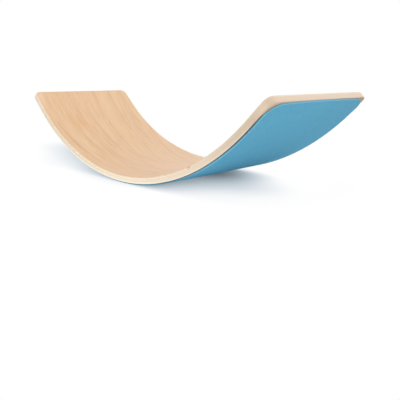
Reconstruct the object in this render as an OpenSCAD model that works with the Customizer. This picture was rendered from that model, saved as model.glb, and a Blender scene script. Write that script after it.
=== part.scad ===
// Curved balance board: a press-moulded plywood plank that rocks on its felt-covered convex face.
// X runs along the board, Y across it and Z up. The origin is under the middle of the board,
// on the line where the felt meets the floor.

/* [Curve] */
// Radius of the middle part of the curve, on the standing face
mid_r = 565; // [540:5:650]
// Half angle of the middle part of the curve, in degrees
mid_a = 17.4; // [14:0.2:20]
// Radius of the two shoulders of the curve, on the standing face
shoulder_r = 515; // [450:5:525]
// Angle that each shoulder turns through, in degrees
shoulder_a = 25.8; // [22:0.2:28]
// Length of the straight lip at each end
lip_len = 55; // [40:1:80]

/* [Plan] */
// Width of the board
board_w = 300; // [240:5:360]
// Radius of the plywood's four corners
corner_r = 16; // [10:1:30]

/* [Plywood] */
// Thickness of one veneer, pressed
veneer_t = 1.3; // [1.0:0.1:1.8]

/* [Felt] */
// Thickness of the glue film under the felt
film_t = 0.3; // [0.1:0.1:0.5]
// Thickness of the felt
felt_t = 3.0; // [2.0:0.1:5.0]
// How far the felt stays back from the long edges of the plywood
felt_side_back = 4.5; // [1.0:0.5:8.0]
// How far the felt stays back from the two ends of the plywood
felt_end_back = 1.0; // [0.5:0.5:5.0]
// Radius of the corners of the felt and of the glue film
felt_corner_r = 30; // [14:1:32]
// How far the glue film stays back from the long edges of the plywood
film_side_back = 2.5; // [0.5:0.5:5.0]
// How far the glue film stays back from the two ends of the plywood
film_end_back = 4.0; // [1.0:0.5:6.0]

/* [Hidden] */
$fn = 720;

// The stack, counted from the standing face outwards
veneer_n = 11;
wood_t = veneer_n * veneer_t;
total_t = wood_t + film_t + felt_t;

// How far neighbouring curves of the profile overlap, so that they cross in one clean line
ease = 0.01;

// A point at distance r from c, at angle a from straight down, in the plane of the profile
function swing(c, r, a) = [c[0] + r * sin(a), c[1] - r * cos(a)];

// The middle arc's centre, the shoulder's centre and the lip's slope
mid_c = [0, total_t + mid_r];
shoulder_c = swing(mid_c, mid_r - shoulder_r + ease, mid_a);
lip_a = mid_a + shoulder_a;
reach = 2 * (mid_r + total_t);

long_wood = [0.93, 0.80, 0.63];
cross_wood = [0.86, 0.71, 0.53];
glue = [0.25, 0.27, 0.29];
felt_blue = [0.37, 0.63, 0.75];

// A half plane whose edge runs along the right lip's surface at this depth
module above_lip(depth) {
  translate(shoulder_c) rotate(lip_a) translate([-reach, -(shoulder_r + depth - ease)]) square(2 * reach);
}

// A half plane that ends at the right lip's cut, square to the lip
module before_cut(back) {
  translate(shoulder_c) rotate(lip_a) translate([lip_len - back - 2 * reach, -reach]) square(2 * reach);
}

// What the right shoulder's tighter curve takes away at this depth
module shoulder_waste(depth) {
  difference() {
    polygon([shoulder_c, swing(shoulder_c, reach, mid_a),
             swing(shoulder_c, reach, (mid_a + lip_a) / 2), swing(shoulder_c, reach, lip_a)]);
    translate(shoulder_c) circle(shoulder_r + depth);
  }
}

// Everything on the hollow side of the surface at this depth below the standing face
module hollow_side(depth) {
  difference() {
    intersection() {
      translate(mid_c) circle(mid_r + depth);
      above_lip(depth);
      mirror([1, 0]) above_lip(depth);
    }
    shoulder_waste(depth);
    mirror([1, 0]) shoulder_waste(depth);
  }
}

// One layer's profile: depth is how far it lies below the standing face, t is its thickness,
// and back is how far its ends stop short of the plywood's
module layer_profile(depth, t, back) {
  intersection() {
    difference() {
      hollow_side(depth + t);
      hollow_side(depth);
    }
    before_cut(back);
    mirror([1, 0]) before_cut(back);
  }
}

// What rounded corners of radius r take away from a layer, where end and side are how far the layer stops short
// of the plywood's ends and long edges
module corner_waste(r, end, side) {
  for (turn = [0, 1]) mirror([turn, 0, 0])
    translate([shoulder_c[0], 0, shoulder_c[1]]) rotate([0, -lip_a, 0])
      for (edge = [0, 1]) mirror([0, edge, 0])
        translate([lip_len - end - r, board_w / 2 - side - r, -shoulder_r - total_t - 5])
          linear_extrude(total_t + 10) difference() {
            square(r + end + side + 6);
            circle(r + ease);
          }
}

// One bent sheet of the stack, cut to its outline
module layer(depth, t, r, end, side) {
  difference() {
    translate([0, board_w / 2 - side, 0]) rotate([90, 0, 0])
      linear_extrude(board_w - 2 * side) layer_profile(depth, t, end);
    corner_waste(r, end, side);
  }
}

// Veneer k, counted from 1 at the standing face; odd ones have their grain along the board
module veneer(k) { layer((k - 1) * veneer_t, veneer_t, corner_r, 0, 0); }

module standing_face_veneer() { color(long_wood) veneer(1); }
module crossband_veneer_02() { color(cross_wood) veneer(2); }
module core_veneer_03() { color(long_wood) veneer(3); }
module crossband_veneer_04() { color(cross_wood) veneer(4); }
module core_veneer_05() { color(long_wood) veneer(5); }
module crossband_veneer_06() { color(cross_wood) veneer(6); }
module core_veneer_07() { color(long_wood) veneer(7); }
module crossband_veneer_08() { color(cross_wood) veneer(8); }
module core_veneer_09() { color(long_wood) veneer(9); }
module crossband_veneer_10() { color(cross_wood) veneer(10); }
module rolling_face_veneer() { color(long_wood) veneer(veneer_n); }
module felt_adhesive_film() { color(glue) layer(wood_t, film_t, felt_corner_r, film_end_back, film_side_back); }
module felt_cover() { color(felt_blue) layer(wood_t + film_t, felt_t, felt_corner_r, felt_end_back, felt_side_back); }

standing_face_veneer();
crossband_veneer_02();
core_veneer_03();
crossband_veneer_04();
core_veneer_05();
crossband_veneer_06();
core_veneer_07();
crossband_veneer_08();
core_veneer_09();
crossband_veneer_10();
rolling_face_veneer();
felt_adhesive_film();
felt_cover();
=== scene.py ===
"""Looks of the curved balance board: bent beech plywood with blue felt on its convex face.

Lengths are in millimetres up to place(), which turns the board's own coordinates into metres in the part's frame:
s runs along the standing face from the middle of the board, y runs across it, and o is the depth below that face.
"""

import math

import bpy
import numpy as np
from mathutils import Matrix, Vector, noise


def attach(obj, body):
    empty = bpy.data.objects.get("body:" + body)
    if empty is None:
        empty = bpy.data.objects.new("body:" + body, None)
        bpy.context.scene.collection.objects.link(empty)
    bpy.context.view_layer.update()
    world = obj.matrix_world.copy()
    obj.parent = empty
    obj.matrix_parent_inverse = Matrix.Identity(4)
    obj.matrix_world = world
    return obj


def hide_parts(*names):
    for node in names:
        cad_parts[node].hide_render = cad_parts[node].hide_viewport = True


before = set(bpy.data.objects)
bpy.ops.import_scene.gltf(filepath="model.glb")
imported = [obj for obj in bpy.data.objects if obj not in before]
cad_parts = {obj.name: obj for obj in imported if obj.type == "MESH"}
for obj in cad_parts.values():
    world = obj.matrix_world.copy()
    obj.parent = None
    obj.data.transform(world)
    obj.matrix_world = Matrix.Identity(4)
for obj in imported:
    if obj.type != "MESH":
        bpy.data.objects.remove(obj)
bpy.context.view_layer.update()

# ---------------------------------------------------------------- the board's shape
MID_R, MID_A = 565.0, math.radians(17.4)
SHO_R, SHO_A = 515.0, math.radians(25.8)
LIP = 55.0
LIP_A = MID_A + SHO_A
S1 = MID_R * MID_A
S2 = S1 + SHO_R * SHO_A
HALF_L = S2 + LIP
HALF_W = 150.0
CORNER = 16.0
VENEERS, VENEER_T = 11, 1.3
WOOD_T = VENEERS * VENEER_T
FILM_T, FELT_T = 0.3, 3.0
TOTAL_T = WOOD_T + FILM_T + FELT_T
FELT_END, FELT_SIDE = 1.0, 4.5  # how far the felt stays back from the ends and from the long edges
FILM_END, FILM_SIDE = 4.0, 2.5
FELT_CORNER = 30.0
ARRIS_IN, ARRIS_OUT = 2.6, 0.7  # how far the sanded edges of the plywood are rounded

MID_Z = TOTAL_T + MID_R
SHO_X = (MID_R - SHO_R) * math.sin(MID_A)
SHO_Z = MID_Z - (MID_R - SHO_R) * math.cos(MID_A)


def place(s, y, o):
    s, y, o = np.broadcast_arrays(np.asarray(s, float), np.asarray(y, float), np.asarray(o, float))
    side, a = np.where(s < 0, -1.0, 1.0), np.abs(s)
    mid = a < S1
    turn = np.where(mid, a / MID_R, np.minimum(MID_A + (a - S1) / SHO_R, LIP_A))
    cx, cz, r = np.where(mid, 0.0, SHO_X), np.where(mid, MID_Z, SHO_Z), np.where(mid, MID_R, SHO_R)
    on_lip = np.maximum(a - S2, 0.0)
    x = cx + (r + o) * np.sin(turn) + on_lip * np.cos(turn)
    z = cz - (r + o) * np.cos(turn) + on_lip * np.sin(turn)
    return np.stack([side * x, y, z], -1) * 0.001


def edge_inset(o):
    """How far the sanded plywood edge lies inside the sawn outline at this depth."""
    if o < ARRIS_IN:
        return ARRIS_IN - math.sqrt(max(ARRIS_IN**2 - (ARRIS_IN - o) ** 2, 0.0))
    up = WOOD_T - o
    if up < ARRIS_OUT:
        return ARRIS_OUT - math.sqrt(max(ARRIS_OUT**2 - (ARRIS_OUT - up) ** 2, 0.0))
    return 0.0


def bent_sheet(name, profile, end_back, side_back, corner, n_mid, n_corner, n_across, wobble=None, dimple=None, warp=None, lift=()):
    """A closed bent sheet with rounded corners. profile lists (inset, depth) from the upper face's rim to the lower
    face's rim. wobble(s, y, o) moves a rim point inwards, dimple(s, y) raises the lower face, warp(s, y) reshapes the
    outline, and lift lists how far each row of the profile turns up at the two ends, all in millimetres."""
    length, width = HALF_L - end_back, HALF_W - side_back
    ang = np.linspace(0.0, math.pi / 2, n_corner + 1)[1:]
    across = np.linspace(-1.0, 1.0, n_across)
    straight = np.linspace(-(length - corner), length - corner, n_mid)

    def stations(e):
        c = length - corner + (corner - e) * np.sin(ang)
        h = width - corner + (corner - e) * np.cos(ang)
        s = np.concatenate([-c[::-1], straight, c])
        half = np.concatenate([h[::-1], np.full(n_mid, width - e), h])
        return s, half

    turn = np.concatenate([np.sin(ang[::-1]) ** 2, np.zeros(n_mid), np.sin(ang) ** 2])
    ns, ny = n_mid + 2 * n_corner, n_across

    def ring(e):
        s, half = stations(e)
        grid_s = np.repeat(s[:, None], ny, 1)
        grid_y = half[:, None] * across[None, :]
        return (grid_s, grid_y) if warp is None else warp(grid_s, grid_y)

    idx = np.arange(ns * ny).reshape(ns, ny)
    loop = np.concatenate([idx[:, 0], idx[-1, 1:-1], idx[::-1, -1], idx[0, -2:0:-1]])
    loop_end = np.concatenate([turn, np.ones(ny - 2), turn[::-1], np.ones(ny - 2)])
    flat, ends, rim = [], [], []
    for k, (e, o) in enumerate(profile):
        gs, gy = ring(e)
        if k in (0, len(profile) - 1):
            ss, yy = gs.ravel(), gy.ravel()
            oo = np.full(ss.shape, o)
            if k and dimple is not None:
                oo = oo - dimple(ss, yy)
            mask = np.zeros(ns * ny)
            mask[loop] = loop_end
            flat.append(np.stack([ss, yy, oo], 1))
            ends.append(mask)
            rim.append(np.zeros(ns * ny))
        else:
            ss, yy = gs.ravel()[loop], gy.ravel()[loop]
            oo = np.full(ss.shape, o)
            if k < len(lift):
                oo = oo - lift[k] * loop_end**4
            if wobble is not None:
                move = wobble(ss, yy, oo)
                ls = np.sqrt(loop_end)
                lw = np.sqrt(1.0 - loop_end)
                ss = ss - np.sign(ss) * ls * move
                yy = yy - np.sign(yy) * lw * move
            flat.append(np.stack([ss, yy, oo], 1))
            ends.append(loop_end)
            rim.append(np.ones(len(loop)))
    starts = np.cumsum([0] + [len(f) for f in flat])
    faces = []
    a, b, c, d = idx[:-1, :-1].ravel(), idx[1:, :-1].ravel(), idx[1:, 1:].ravel(), idx[:-1, 1:].ravel()
    faces.append(np.stack([a, b, c, d], 1))
    low = starts[len(profile) - 1]
    faces.append(np.stack([a, d, c, b], 1) + low)
    rings = [loop] + [starts[k] + np.arange(len(loop)) for k in range(1, len(profile) - 1)] + [loop + low]
    for up, dn in zip(rings[:-1], rings[1:]):
        faces.append(np.stack([up, dn, np.roll(dn, -1), np.roll(up, -1)], 1))
    flat, ends, rim, faces = np.concatenate(flat), np.concatenate(ends), np.concatenate(rim), np.concatenate(faces)
    mesh = bpy.data.meshes.new(name)
    mesh.from_pydata(place(flat[:, 0], flat[:, 1], flat[:, 2]).tolist(), [], faces.tolist())
    own = mesh.attributes.new("flat", "FLOAT_VECTOR", "POINT")
    own.data.foreach_set("vector", (flat * 0.001).astype(np.float32).ravel())
    for label, values in (("end", ends), ("rim", rim)):
        layer = mesh.attributes.new(label, "FLOAT", "POINT")
        layer.data.foreach_set("value", values.astype(np.float32))
    mesh.polygons.foreach_set("use_smooth", np.ones(len(mesh.polygons), bool))
    mesh.validate()
    mesh.update()
    mesh.set_sharp_from_angle(angle=math.radians(38))
    piece = bpy.data.objects.new(name, mesh)
    bpy.context.scene.collection.objects.link(piece)
    return piece


def soft_noise(points, size, seed):
    """Smooth noise from -1 to 1 at points given in millimetres."""
    at = np.asarray(points, float) / size + seed * 17.31
    return np.array([noise.noise(Vector(p)) for p in at.tolist()])


# ---------------------------------------------------------------- node helpers
class Graph:
    def __init__(self, name):
        self.mat = bpy.data.materials.new(name)
        self.mat.use_nodes = True
        self.nt = self.mat.node_tree
        self.nt.nodes.clear()
        self.out = self.node("ShaderNodeOutputMaterial")
        self.bsdf = self.node("ShaderNodeBsdfPrincipled")
        self.nt.links.new(self.bsdf.outputs["BSDF"], self.out.inputs["Surface"])

    def node(self, kind, **props):
        n = self.nt.nodes.new(kind)
        for k, v in props.items():
            setattr(n, k, v)
        return n

    def put(self, socket, value):
        if isinstance(value, bpy.types.NodeSocket):
            self.nt.links.new(value, socket)
        else:
            socket.default_value = value

    def math(self, op, a, b=0.0, c=0.0, clamp=False):
        n = self.node("ShaderNodeMath", operation=op, use_clamp=clamp)
        for s, v in zip(n.inputs, (a, b, c)):
            self.put(s, v)
        return n.outputs[0]

    def add(self, *terms):
        total = terms[0]
        for t in terms[1:]:
            total = self.math("ADD", total, t)
        return total

    def attr(self, name):
        return self.node("ShaderNodeAttribute", attribute_type="GEOMETRY", attribute_name=name)

    def split(self, vector):
        n = self.node("ShaderNodeSeparateXYZ")
        self.put(n.inputs[0], vector)
        return n.outputs

    def join(self, x, y, z):
        n = self.node("ShaderNodeCombineXYZ")
        for s, v in zip(n.inputs, (x, y, z)):
            self.put(s, v)
        return n.outputs[0]

    def scaled(self, xyz, k, shift=(0.0, 0.0, 0.0)):
        return self.join(*(self.math("MULTIPLY_ADD", v, f, h) for v, f, h in zip(xyz, k, shift)))

    def noise(self, vector, scale=1.0, detail=2.0, rough=0.5, warp=0.0):
        n = self.node("ShaderNodeTexNoise", noise_dimensions="3D")
        self.put(n.inputs["Vector"], vector)
        n.inputs["Scale"].default_value = scale
        n.inputs["Detail"].default_value = detail
        n.inputs["Roughness"].default_value = rough
        n.inputs["Distortion"].default_value = warp
        return n.outputs["Fac"]

    def swing(self, noise, amount):
        """A noise turned into a value around 0."""
        return self.math("MULTIPLY", self.math("SUBTRACT", noise, 0.5), amount)

    def ramp(self, fac, *stops):
        n = self.node("ShaderNodeValToRGB")
        self.put(n.inputs[0], fac)
        els = n.color_ramp.elements
        while len(els) < len(stops):
            els.new(0.5)
        for el, (p, c) in zip(els, stops):
            el.position = p
            el.color = (*c, 1.0) if len(c) == 3 else c
        return n.outputs["Color"]

    def band(self, value, lo, hi, to=(0.0, 1.0)):
        n = self.node("ShaderNodeMapRange", interpolation_type="SMOOTHSTEP")
        self.put(n.inputs["Value"], value)
        n.inputs["From Min"].default_value = lo
        n.inputs["From Max"].default_value = hi
        n.inputs["To Min"].default_value = to[0]
        n.inputs["To Max"].default_value = to[1]
        return n.outputs["Result"]

    def mix(self, fac, a, b, mode="MIX"):
        n = self.node("ShaderNodeMix", data_type="RGBA", blend_type=mode)
        self.put(n.inputs["Factor"], fac)
        for socket, v in ((n.inputs[6], a), (n.inputs[7], b)):
            self.put(socket, (*v, 1.0) if isinstance(v, tuple) and len(v) == 3 else v)
        return n.outputs[2]

    def bump(self, height, strength, distance):
        n = self.node("ShaderNodeBump")
        self.put(n.inputs["Height"], height)
        n.inputs["Strength"].default_value = strength
        n.inputs["Distance"].default_value = distance
        return n.outputs["Normal"]

    def spot(self, vector, centre, radii, soft=0.4):
        """1 inside an ellipsoid of the board's own coordinates, in millimetres, fading out to 0 at its skin."""
        sub = self.node("ShaderNodeVectorMath", operation="SUBTRACT")
        self.put(sub.inputs[0], vector)
        sub.inputs[1].default_value = tuple(v * 0.001 for v in centre)
        div = self.node("ShaderNodeVectorMath", operation="DIVIDE")
        self.put(div.inputs[0], sub.outputs["Vector"])
        div.inputs[1].default_value = tuple(v * 0.001 for v in radii)
        far = self.node("ShaderNodeVectorMath", operation="LENGTH")
        self.put(far.inputs[0], div.outputs["Vector"])
        return self.band(far.outputs["Value"], soft, 1.0, (1.0, 0.0))


def srgb(r, g, b):
    return tuple((v / 12.92 if v <= 0.04045 else ((v + 0.055) / 1.055) ** 2.4) for v in (r / 255, g / 255, b / 255))


# ---------------------------------------------------------------- beech
# Growth-ring streaks on the standing face: where each starts and ends along the board, how far across it lies at the
# start, its slope and bend, its half width, and how dark (+) or light (-) it is
STREAKS = [
    (-345, -70, -144.5, 0.0, 0.0, 1.6, 0.16),
    (-370, -140, -133, 0.025, 0.0, 4.0, 0.26),
    (-440, -150, -118, 0.045, 0.0, 9.0, -0.12),
    (-470, -255, 127, -0.040, 0.0, 4.0, 0.13),
    (-300, -150, 108, -0.120, 0.0, 9.0, 0.12),
    (-470, -140, 86, 0.0, -0.33, 3.5, 0.14),
    (-260, -150, 66, -0.060, 0.0, 3.0, 0.16),
    (-470, -300, 41, -0.055, 0.0, 4.0, -0.12),
    (-470, -400, 49, -0.020, 0.0, 2.6, 0.12),
    (-470, -190, 36, -0.115, 0.0, 2.6, 0.18),
    (-310, -90, -72, 0.040, 0.0, 4.0, 0.12),
    (-290, -70, -88, 0.060, 0.0, 3.5, 0.14),
]
# small brown marks in the edge: place along, across and down, and half sizes
MARKS = [
    (232, -148, 1.9, 8.5, 20.0, 4.6),
    (335, -150, 7.5, 1.3, 1.5, 0.8),
    (313, -150, 11.0, 1.2, 1.5, 0.8),
]


def beech(name, k):
    """Veneer k of the stack, from 1 at the standing face; odd ones have their grain along the board. Along its grain
    it shows streaks and short ray flecks, and across it shows end grain."""
    long_grain, face, seed = k % 2 == 1, k == 1, 3.7 * k
    g = Graph(name)
    flat = g.attr("flat").outputs["Vector"]
    s, y, o = g.split(flat)
    end = g.attr("end").outputs["Fac"]
    rim = g.attr("rim").outputs["Fac"]
    drift = g.noise(g.scaled((s, y, o), (2.2, 5.0, 300.0), (seed, seed * 0.7, 0.0)), 1.0, 2.0, 0.55)
    along, across = (s, y) if long_grain else (y, s)
    if face:
        # the grain lines close in on an axis along the board
        axis = g.math("MULTIPLY_ADD", s, -0.06, -0.045)
        off = g.math("SUBTRACT", y, axis)
        v = g.math("ADD", g.math("MULTIPLY", off, g.band(s, -0.48, 0.10, (1.0, 1.5))), g.swing(drift, 0.022))
    else:
        v = g.add(across, g.swing(drift, 0.050), g.math("MULTIPLY", along, 0.035))
    broad = g.noise(g.scaled((along, v, o), (0.8, 26.0, 500.0), (seed * 1.7, seed, seed)), 1.0, 2.0, 0.5)
    streak = g.noise(g.scaled((along, v, o), (4.2, 88.0, 500.0), (seed, seed * 2.1, seed)), 1.0, 3.0, 0.6)
    fine = g.noise(g.scaled((along, v, o), (11.0, 300.0, 700.0), (seed * 0.6, seed * 1.3, seed)), 1.0, 2.0, 0.6)
    fibre = g.noise(g.scaled((along, v, o), (30.0, 1250.0, 900.0), (seed, seed, seed)), 1.0, 2.0, 0.6)
    fleck_n = g.noise(g.scaled((along, v, o), (240.0, 1500.0, 900.0), (seed * 3.0, seed, seed)), 1.0, 0.0, 0.5)
    fleck = g.band(fleck_n, 0.66, 0.76)
    pore = g.noise(g.scaled((s, y, o), (2400.0, 2400.0, 2400.0), (seed, 0.0, 0.0)), 1.0, 1.0, 0.5)
    if face:
        hue = g.noise(g.scaled((along, v, o), (1.6, 52.0, 500.0), (seed * 2.3, seed, seed)), 1.0, 2.0, 0.5)
        base = g.ramp(hue, (0.36, srgb(231, 192, 157)), (0.64, srgb(230, 194, 154)))
        base = g.mix(g.math("MULTIPLY", g.spot(flat, (-330, -66, 0), (60, 48, 50), 0.0), 0.75), base, srgb(227, 182, 138))
        base = g.mix(g.math("MULTIPLY", g.spot(flat, (-445, -135, 0), (52, 36, 50), 0.0), 0.8), base, srgb(239, 206, 176))
        blotch = g.noise(g.scaled((along, v, o), (11.0, 34.0, 500.0), (seed * 1.1, seed * 2.7, seed)), 1.0, 3.0, 0.6, 0.6)
        dark = g.add(0.5, g.swing(broad, -0.55), g.swing(streak, -0.65), g.swing(blotch, -0.60), g.swing(fine, -1.30), g.swing(fibre, -0.75))
        for s0, s1, y0, slope, bend, half, depth in STREAKS:
            run = g.math("SUBTRACT", s, s0 * 0.001)
            line = g.math("MULTIPLY_ADD", run, slope, y0 * 0.001)
            if bend:
                line = g.math("MULTIPLY_ADD", g.math("MULTIPLY", run, run), bend, line)
            away = g.math("ABSOLUTE", g.math("SUBTRACT", y, g.math("ADD", line, g.swing(drift, 0.010))))
            shade = g.band(away, 0.0, 2.0 * half * 0.001, (depth, 0.0))
            fade = g.band(s, (s1 - 60) * 0.001, s1 * 0.001, (1.0, 0.0))
            if s0 > -460:
                fade = g.math("MULTIPLY", fade, g.band(s, s0 * 0.001, (s0 + 50) * 0.001))
            dark = g.math("MULTIPLY_ADD", shade, fade, dark)
        shift = g.ramp(dark, (0.0, (1.10, 1.12, 1.15)), (0.5, (1.0, 1.0, 1.0)), (1.0, (0.86, 0.78, 0.70)))
        tone = g.mix(1.0, base, shift, "MULTIPLY")
        # painted sheen: the standing face yellower towards the left end and paler and bluer towards the right
        tint = g.ramp(g.math("MULTIPLY_ADD", s, 1.0 / 0.92, 0.5), (0.10, (1.0, 0.99, 0.95)), (0.32, (1.0, 0.985, 0.95)), (0.52, (1.0, 1.0, 1.03)), (0.75, (1.0, 1.01, 1.075)))
        tone = g.mix(1.0, tone, tint, "MULTIPLY")
        tone = g.mix(g.band(y, 0.02, 0.12), tone, g.mix(1.0, tone, (1.0, 1.022, 1.03), "MULTIPLY"))
        side_tone = g.ramp(streak, (0.32, srgb(246, 226, 199)), (0.66, srgb(251, 236, 213)))
        # the arris paler towards both ends, partly sanding wear and partly painted highlight
        wear_and_painted_highlight = g.math("MULTIPLY", g.math("SUBTRACT", 1.0, end), g.band(g.math("ABSOLUTE", s), 0.10, 0.21, (0.0, 0.85)))
        tone = g.mix(g.math("MULTIPLY", rim, g.math("MAXIMUM", g.band(o, 0.0001, 0.0010), wear_and_painted_highlight)), tone, side_tone)
    else:
        light = EDGE_TONES[k]
        darker = tuple(c * f for c, f in zip(light, (0.95, 0.93, 0.91)))
        tone = g.ramp(g.math("ADD", g.math("MULTIPLY", broad, 0.65), g.math("MULTIPLY", fine, 0.35)), (0.36, darker), (0.62, light))
        tone = g.mix(g.math("MULTIPLY", g.swing(fibre, -0.5), 1.0, clamp=True), tone, srgb(186, 138, 96))
        tone = g.mix(g.math("MULTIPLY", rim, 0.7), tone, tuple(0.5 * (a + b) for a, b in zip(light, darker)))
    if k == VENEERS:
        # its lower face shows as a narrow margin round the felt, painted brown as shade: lighter at the ends, darker at
        # the far corners
        under = g.math("MULTIPLY", g.math("SUBTRACT", 1.0, rim), g.band(o, 0.0138, 0.0141))
        painted_shade_margin = g.ramp(fine, (0.36, srgb(166, 131, 101)), (0.64, srgb(182, 149, 119)))
        corner = g.band(g.math("ABSOLUTE", s), 0.405, 0.435)
        painted_shade_margin = g.mix(g.math("MULTIPLY", corner, g.band(y, 0.132, 0.112)), painted_shade_margin, srgb(210, 174, 140))
        painted_shade_margin = g.mix(g.math("MULTIPLY", corner, g.band(y, 0.112, 0.132)), painted_shade_margin, srgb(150, 121, 97))
        tone = g.mix(under, tone, painted_shade_margin)
    # end grain shows on the ends of long-grain veneers and on the sides of cross-grain ones
    cut = g.math("MULTIPLY", rim, end if long_grain else g.math("SUBTRACT", 1.0, end))
    end_tone = g.ramp(pore, (0.30, srgb(216, 187, 153)), (0.64, srgb(238, 218, 191)))
    tone = g.mix(g.math("MULTIPLY", cut, 0.15 if long_grain else 0.06), tone, end_tone)
    tone = g.mix(g.math("MULTIPLY", fleck, g.math("MULTIPLY_ADD", rim, -0.15, 0.21)), tone, srgb(172, 118, 76))
    # painted light and shade on the long edges: lighter at the left end, darker towards the right end
    painted_edge_shading = g.ramp(
        g.math("MULTIPLY_ADD", s, 1.0 / 0.92, 0.5),
        (0.02, (1.06, 1.10, 1.17)),
        (0.10, (1.025, 1.04, 1.04)),
        (0.30, (1.0, 1.03, 1.035)),
        (0.50, (0.855, 0.905, 0.93)),
        (0.73, (0.82, 0.82, 0.825)),
        (0.90, (0.74, 0.735, 0.71)),
        (0.95, (0.755, 0.745, 0.72)),
        (0.985, (0.94, 0.91, 0.885)),
    )
    tone = g.mix(g.math("MULTIPLY", rim, g.math("SUBTRACT", 1.0, end)), tone, g.mix(1.0, tone, painted_edge_shading, "MULTIPLY"))
    if face:
        # painted highlight: the face veneer's arris paler and whiter near the right end
        pale = g.math("MULTIPLY", g.math("MULTIPLY", rim, g.math("SUBTRACT", 1.0, end)), g.band(s, 0.345, 0.375))
        tone = g.mix(pale, tone, g.mix(1.0, tone, (1.05, 1.13, 1.19), "MULTIPLY"))
    # painted shade: the lower plies of the edge darker from the middle towards the right end
    low_right = g.math("MULTIPLY", g.math("MULTIPLY", rim, g.band(s, 0.08, 0.17)), g.band(o, 0.0095, 0.0125))
    tone = g.mix(low_right, tone, g.mix(1.0, tone, (0.95, 0.915, 0.885), "MULTIPLY"))
    # painted shade: the lower plies darker at the right end's tip
    low_tip = g.math("MULTIPLY", g.math("MULTIPLY", rim, g.band(s, 0.385, 0.415)), g.band(o, 0.0105, 0.0125))
    tone = g.mix(low_tip, tone, g.mix(1.0, tone, (0.88, 0.82, 0.77), "MULTIPLY"))
    tone = g.mix(g.math("MULTIPLY", rim, end), tone, g.mix(1.0, tone, (0.975, 0.955, 0.97), "MULTIPLY"))
    # painted shade: the lower plies of the end faces darker
    low_end = g.math("MULTIPLY", g.math("MULTIPLY", rim, end), g.band(o, 0.005, 0.013))
    tone = g.mix(low_end, tone, g.mix(1.0, tone, (0.955, 0.925, 0.925), "MULTIPLY"))
    # the glue lines between veneers
    layer = g.math("FRACT", g.math("MULTIPLY_ADD", o, 1000.0 / VENEER_T, 0.0005))
    from_line = g.math("MINIMUM", layer, g.math("SUBTRACT", 1.0, layer))
    line = g.math("MULTIPLY", rim, g.band(from_line, 0.03, 0.13, (1.0, 0.0)))
    tone = g.mix(g.math("MULTIPLY", line, 0.30), tone, srgb(176, 134, 96))
    top, low = (k - 1) * VENEER_T, k * VENEER_T
    for ms, my, mo, rs, ry, ro in MARKS:
        if top < mo + ro and low > mo - ro:
            tone = g.mix(g.math("MULTIPLY", g.spot(flat, (ms, my, mo), (rs, ry, ro), 0.1), 0.8), tone, srgb(206, 154, 100))
    g.put(g.bsdf.inputs["Base Color"], tone)
    g.put(g.bsdf.inputs["Roughness"], g.add(0.40, g.math("MULTIPLY", fibre, 0.12), g.math("MULTIPLY", fine, 0.06)))
    g.bsdf.inputs["Specular IOR Level"].default_value = 0.5
    height = g.math("ADD", g.math("MULTIPLY", fibre, 0.7), g.math("MULTIPLY", fleck, -0.5))
    g.put(g.bsdf.inputs["Normal"], g.bump(height, 0.35, 0.00006))
    return g.mat


# colour of each inner veneer's edge, from the standing face down
EDGE_TONES = {
    2: srgb(236, 214, 189),
    3: srgb(246, 229, 203),
    4: srgb(230, 207, 180),
    5: srgb(240, 223, 199),
    6: srgb(229, 207, 183),
    7: srgb(239, 223, 198),
    8: srgb(232, 210, 184),
    9: srgb(246, 231, 210),
    10: srgb(244, 229, 210),
    11: srgb(253, 242, 224),
}


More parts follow.
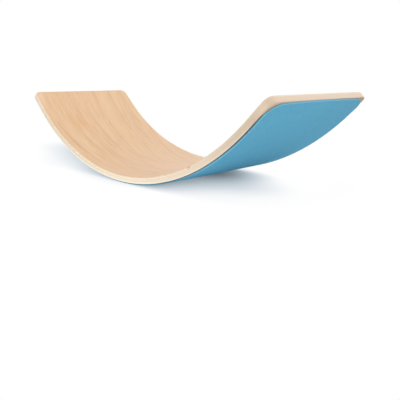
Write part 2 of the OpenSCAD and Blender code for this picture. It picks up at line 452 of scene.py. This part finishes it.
# ---------------------------------------------------------------- felt and glue
def felt():
    g = Graph("blue_wool_felt")
    flat = g.attr("flat").outputs["Vector"]
    s, y, o = g.split(flat)
    rim = g.attr("rim").outputs["Fac"]
    cloud = g.noise(flat, 42.0, 3.0, 0.6)
    mottle = g.noise(flat, 330.0, 3.0, 0.62, 0.6)
    strands = []
    for turn, seed in ((0.35, 1.0), (1.35, 4.0), (2.45, 9.0)):
        c, d = math.cos(turn), math.sin(turn)
        u = g.math("ADD", g.math("MULTIPLY", s, c), g.math("MULTIPLY", y, d))
        w = g.math("ADD", g.math("MULTIPLY", s, -d), g.math("MULTIPLY", y, c))
        strands.append(g.noise(g.scaled((u, w, o), (330.0, 2600.0, 2600.0), (seed, seed, seed)), 1.0, 2.0, 0.55, 0.8))
    fibre = g.math("MAXIMUM", g.math("MAXIMUM", strands[0], strands[1]), strands[2])
    tone = g.ramp(
        g.math("ADD", g.math("MULTIPLY", cloud, 0.2), g.math("MULTIPLY", mottle, 0.8)),
        (0.28, srgb(79, 148, 176)),
        (0.50, srgb(87, 156, 184)),
        (0.72, srgb(95, 164, 192)),
    )
    tone = g.mix(g.band(fibre, 0.60, 0.80, (0.0, 0.55)), tone, srgb(126, 191, 217))
    tone = g.mix(g.band(fibre, 0.50, 0.40, (0.0, 0.6)), tone, srgb(56, 122, 154))
    # its cut edge is pale, but painted shade greys it in the middle, where it nears the floor
    edge = g.mix(g.band(g.math("ABSOLUTE", s), 0.16, 0.30), srgb(84, 116, 128), srgb(128, 190, 215))
    tone = g.mix(g.math("MULTIPLY", rim, 0.6), tone, edge)
    # painted shade: the felt darker towards the far edge, and a little darker towards both ends
    fade = g.ramp(g.math("MULTIPLY_ADD", y, 1.0 / 0.30, 0.5), (0.1, (1.02, 1.02, 1.02)), (0.5, (1.0, 0.99, 0.985)), (0.9, (0.93, 0.885, 0.885)))
    tone = g.mix(1.0, tone, fade, "MULTIPLY")
    tone = g.mix(g.band(g.math("ABSOLUTE", s), 0.28, 0.40), tone, g.mix(1.0, tone, (0.98, 0.972, 0.975), "MULTIPLY"))
    g.put(g.bsdf.inputs["Base Color"], tone)
    g.put(g.bsdf.inputs["Roughness"], g.math("MULTIPLY_ADD", mottle, 0.1, 0.87))
    g.bsdf.inputs["Specular IOR Level"].default_value = 0.15
    g.bsdf.inputs["Sheen Weight"].default_value = 0.22
    g.bsdf.inputs["Sheen Roughness"].default_value = 0.55
    g.bsdf.inputs["Sheen Tint"].default_value = (*srgb(120, 205, 238), 1.0)
    height = g.math("ADD", g.math("MULTIPLY", fibre, 0.8), g.math("MULTIPLY", mottle, 0.5))
    g.put(g.bsdf.inputs["Normal"], g.bump(height, 0.6, 0.0004))
    return g.mat


def glue():
    g = Graph("felt_glue")
    flat = g.attr("flat").outputs["Vector"]
    lump = g.noise(flat, 420.0, 3.0, 0.6)
    fine = g.noise(flat, 2200.0, 2.0, 0.5)
    # the glue's dark colour is partly its own and partly painted shade of the gap between wood and felt
    g.put(g.bsdf.inputs["Base Color"], g.ramp(lump, (0.3, srgb(30, 40, 47)), (0.7, srgb(58, 72, 80))))
    g.put(g.bsdf.inputs["Roughness"], g.math("MULTIPLY_ADD", fine, 0.25, 0.5))
    g.put(g.bsdf.inputs["Normal"], g.bump(g.math("ADD", lump, g.math("MULTIPLY", fine, 0.4)), 0.4, 0.0002))
    return g.mat


# ---------------------------------------------------------------- pieces
GROOVE, GAP = 0.035, 0.004


def veneer_profile(k):
    """Rim of veneer k with its share of the rounded edges and a hair of a groove at each glue line."""
    top, low = (k - 1) * VENEER_T, k * VENEER_T
    depths = [top + VENEER_T * f for f in (0.10, 0.22, 0.36, 0.5, 0.64, 0.78, 0.90)]
    if k == 1:
        depths = [ARRIS_IN - ARRIS_IN * math.cos(a) for a in np.linspace(0, math.acos(1 - low / ARRIS_IN), 12)][1:-1]
    if k == VENEERS:
        turn = [WOOD_T - (ARRIS_OUT - ARRIS_OUT * math.cos(a)) for a in np.linspace(math.pi / 2, 0, 10)][:-1]
        depths = [top + (VENEER_T - ARRIS_OUT) * 0.5] + turn
    rows = [(edge_inset(o), o) for o in depths]
    first = (edge_inset(top) + (0.0 if k == 1 else GROOVE), top + (0.0 if k == 1 else GAP))
    last = (edge_inset(low) + (0.0 if k == VENEERS else GROOVE), low - GAP)
    return [first] + rows + [last]


names = [
    ("standing_face_veneer", "beech_standing_face"),
    ("crossband_veneer_02", "beech_crossband_02"),
    ("core_veneer_03", "beech_core_03"),
    ("crossband_veneer_04", "beech_crossband_04"),
    ("core_veneer_05", "beech_core_05"),
    ("crossband_veneer_06", "beech_crossband_06"),
    ("core_veneer_07", "beech_core_07"),
    ("crossband_veneer_08", "beech_crossband_08"),
    ("core_veneer_09", "beech_core_09"),
    ("crossband_veneer_10", "beech_crossband_10"),
    ("rolling_face_veneer", "beech_rolling_face"),
]


def take(piece, node, material):
    piece.data.materials.append(material)
    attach(piece, "root")
    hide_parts(node)
    return piece


for k, (node, name) in enumerate(names, 1):
    outer = k in (1, VENEERS)
    piece = bent_sheet(name, veneer_profile(k), 0.0, 0.0, CORNER, 201, 12, 41 if outer else 9)
    take(piece, node, beech("beech_" + node, k))


def ease(v, lo, hi):
    t = np.clip((v - lo) / (hi - lo), 0.0, 1.0)
    return t * t * (3 - 2 * t)


def film_warp(s, y):
    """The glue draws back under the felt at the corners."""
    return s, y - np.sign(y) * 2.4 * ease(np.abs(s), 420.0, 438.0) * ease(np.abs(y), 90.0, 140.0)


def film_wobble(s, y, o):
    p = np.stack([s, y, np.zeros_like(s)], 1)
    return 0.16 + 0.16 * soft_noise(p, 9.0, 1) + 0.06 * soft_noise(p, 2.5, 2)


film = bent_sheet(
    "felt_glue_line",
    [(0.15, WOOD_T + GAP), (0.03, WOOD_T + 0.08), (0.0, WOOD_T + 0.16), (0.04, WOOD_T + 0.24), (0.14, WOOD_T + FILM_T - GAP)],
    FILM_END, FILM_SIDE, FELT_CORNER, 301, 16, 9, wobble=film_wobble, warp=film_warp,
)
take(film, "felt_adhesive_film", glue())


def felt_warp(s, y):
    """The felt's ends are cut a little bowed, and its far corners a little rounder than the near ones."""
    near_end = ease(np.abs(s), 380.0, 456.0)
    back = 1.8 * ease(np.abs(y), 55.0, 118.0) - 1.0 * ease(-y, 122.0, 140.0) + 0.6 * ease(y, 90.0, 140.0)
    return s - np.sign(s) * back * near_end, y + 0.8 * ease(y, 90.0, 140.0) * ease(np.abs(s), 425.0, 450.0)


def felt_wobble(s, y, o):
    p = np.stack([s, y, o], 1)
    return 0.14 + 0.12 * soft_noise(p, 7.0, 3) + 0.08 * soft_noise(p, 2.2, 4)


def felt_dimple(s, y):
    p = np.stack([s, y, np.zeros_like(s)], 1)
    return 0.10 + 0.06 * soft_noise(p, 14.0, 5) + 0.05 * soft_noise(p, 5.5, 6)


top, low = WOOD_T + FILM_T + GAP, TOTAL_T
soft = 1.1
felt_rim = [(0.35, top), (0.12, top + 0.18), (0.02, top + 0.55)]
felt_rim += [(0.0, top + f * (FELT_T - soft)) for f in (0.45, 0.7, 0.9, 1.0)]
felt_rim += [(soft * (1 - math.cos(a)), low - soft * (1 - math.sin(a))) for a in np.linspace(0, math.pi / 2, 8)[1:-1]]
felt_rim += [(soft, low)]
cover = bent_sheet(
    "felt_cover_sheet", felt_rim, FELT_END, FELT_SIDE, FELT_CORNER, 361, 16, 101, wobble=felt_wobble, dimple=felt_dimple,
    warp=felt_warp, lift=(0.0, 0.455, 0.45, 0.2),  # the ends are pressed onto the wood, beyond the glue
)
take(cover, "felt_cover", felt())

# ---------------------------------------------------------------- floor, light and camera
scene = bpy.context.scene
floor_mesh = bpy.data.meshes.new("floor")
side = 30.0
floor_mesh.from_pydata([(-side, -side, 0), (side, -side, 0), (side, side, 0), (-side, side, 0)], [], [(0, 1, 2, 3)])
floor = bpy.data.objects.new("floor", floor_mesh)
scene.collection.objects.link(floor)
floor.location.z = -0.0001
g = Graph("pale_floor")
g.nt.nodes.remove(g.bsdf)
paint = g.node("ShaderNodeBsdfDiffuse")
paint.inputs["Color"].default_value = (1.2, 1.2, 1.2, 1.0)
# painted light: the floor glows faintly below the board, close to where it stands, lighting the felt there
painted_under_glow = g.node("ShaderNodeEmission")
where = g.node("ShaderNodeNewGeometry").outputs["Position"]
g.put(painted_under_glow.inputs["Strength"], g.math("MULTIPLY", g.spot(where, (0, 0, 0), (190, 300, 1000), 0.2), 0.28))
bounce = g.node("ShaderNodeAddShader")
g.put(bounce.inputs[0], paint.outputs[0])
g.put(bounce.inputs[1], painted_under_glow.outputs[0])
# painted shadow: seen by the camera, the floor glows white, and only the deep part of a soft shadow under the board is
# painted
# in: how much of the light from the front right the board hides, with listed areas of the floor painted darker (+) or
# lighter (-). Each is given as its strength, its centre and its half sizes, in millimetres
PAINTED_SHADOW_AREAS = [
    (0.646, 55, 79, 214, 107),
    (-0.400, 166, 68, 262, 220),
    (0.329, -45, -69, 291, 138),
    (0.358, 172, 13, 213, 122),
    (0.542, -274, 99, 659, 222),
    (-0.110, -160, 300, 300, 120),
]
shelter = g.node("ShaderNodeAmbientOcclusion", samples=32)
shelter.inputs["Distance"].default_value = 3.0
g.put(shelter.inputs["Normal"], g.join(0.5, -0.5, 0.7071))
shade = g.math("MAXIMUM", g.math("MULTIPLY_ADD", shelter.outputs["AO"], 1.6645, -0.3805), 0.02)
shade = g.math("MINIMUM", g.math("POWER", shade, 0.2484), 1.02)
for depth, x0, y0, rx, ry in PAINTED_SHADOW_AREAS:
    shade = g.math("MULTIPLY", shade, g.math("MULTIPLY_ADD", g.spot(where, (x0, y0, 0), (rx, ry, 1000), 0.0), -depth, 1.0))
glow = g.node("ShaderNodeEmission")
g.put(
    glow.inputs["Color"],
    g.ramp(
        shade,
        (0.126, srgb(90, 101, 110)),
        (0.239, srgb(124, 136, 146)),
        (0.374, srgb(154, 167, 175)),
        (0.546, srgb(186, 197, 205)),
        (0.737, srgb(217, 224, 230)),
        (0.876, srgb(238, 241, 244)),
        (0.963, srgb(250, 251, 252)),
        (1.0, (1.002, 1.002, 1.002)),
    ),
)
both = g.node("ShaderNodeMixShader")
g.put(both.inputs[0], g.node("ShaderNodeLightPath").outputs["Is Camera Ray"])
g.put(both.inputs[1], bounce.outputs[0])
g.put(both.inputs[2], glow.outputs[0])
above = g.node("ShaderNodeMixShader")  # seen from below, the floor lets the view through
g.put(above.inputs[0], g.node("ShaderNodeNewGeometry").outputs["Backfacing"])
g.put(above.inputs[1], both.outputs[0])
g.put(above.inputs[2], g.node("ShaderNodeBsdfTransparent").outputs[0])
g.put(g.out.inputs["Surface"], above.outputs[0])
g.mat.cycles.emission_sampling = "NONE"
floor_mesh.materials.append(g.mat)

world = bpy.data.worlds.new("studio")
scene.world = world
world.use_nodes = True
wt = world.node_tree
sky = wt.nodes["Background"]
ray = wt.nodes.new("ShaderNodeTexCoord")
lean = wt.nodes.new("ShaderNodeVectorMath")
lean.operation = "DOT_PRODUCT"
lean.inputs[1].default_value = (0.08, 0.36, 0.0)
level = wt.nodes.new("ShaderNodeMath")
level.operation = "ADD"
level.inputs[1].default_value = 0.97
path = wt.nodes.new("ShaderNodeLightPath")
pick = wt.nodes.new("ShaderNodeMix")
pick.data_type = "FLOAT"
wt.links.new(ray.outputs["Generated"], lean.inputs[0])
wt.links.new(lean.outputs["Value"], level.inputs[0])
wt.links.new(path.outputs["Is Camera Ray"], pick.inputs[0])
wt.links.new(level.outputs[0], pick.inputs[2])
pick.inputs[3].default_value = 1.002
wt.links.new(pick.outputs[0], sky.inputs["Strength"])
sky.inputs["Color"].default_value = (1.0, 1.0, 1.0, 1.0)

fill_data = bpy.data.lights.new("low_fill", "AREA")
fill_data.shape = "RECTANGLE"
fill_data.size, fill_data.size_y = 0.45, 0.05
fill_data.energy = 0.26
fill = bpy.data.objects.new("low_fill", fill_data)
fill.location = (0.08, -0.38, 0.03)
fill.rotation_euler = (math.radians(90), 0.0, 0.0)
fill.visible_camera = False
scene.collection.objects.link(fill)

scene.view_settings.view_transform = "Standard"
scene.view_settings.look = "None"

right = Vector((0.6896058050, 0.7241089122, -0.0104936663))
up = Vector((-0.1727815834, 0.1785860001, 0.9686348977))
back = Vector((0.7032711840, -0.6661631360, 0.2482666268))
eye = Vector((0.8545351947, -0.7162282718, 0.2166850088))
cam_data = bpy.data.cameras.new("photo_camera")
cam_data.sensor_fit = "HORIZONTAL"
cam_data.sensor_width = 36.0
cam_data.lens = 457.7706 * 36.0 / 400.0
cam_data.clip_start, cam_data.clip_end = 0.01, 200.0
cam = bpy.data.objects.new("photo_camera", cam_data)
scene.collection.objects.link(cam)
cam.matrix_world = Matrix(((right.x, up.x, back.x, eye.x), (right.y, up.y, back.y, eye.y), (right.z, up.z, back.z, eye.z), (0, 0, 0, 1)))
scene.camera = cam
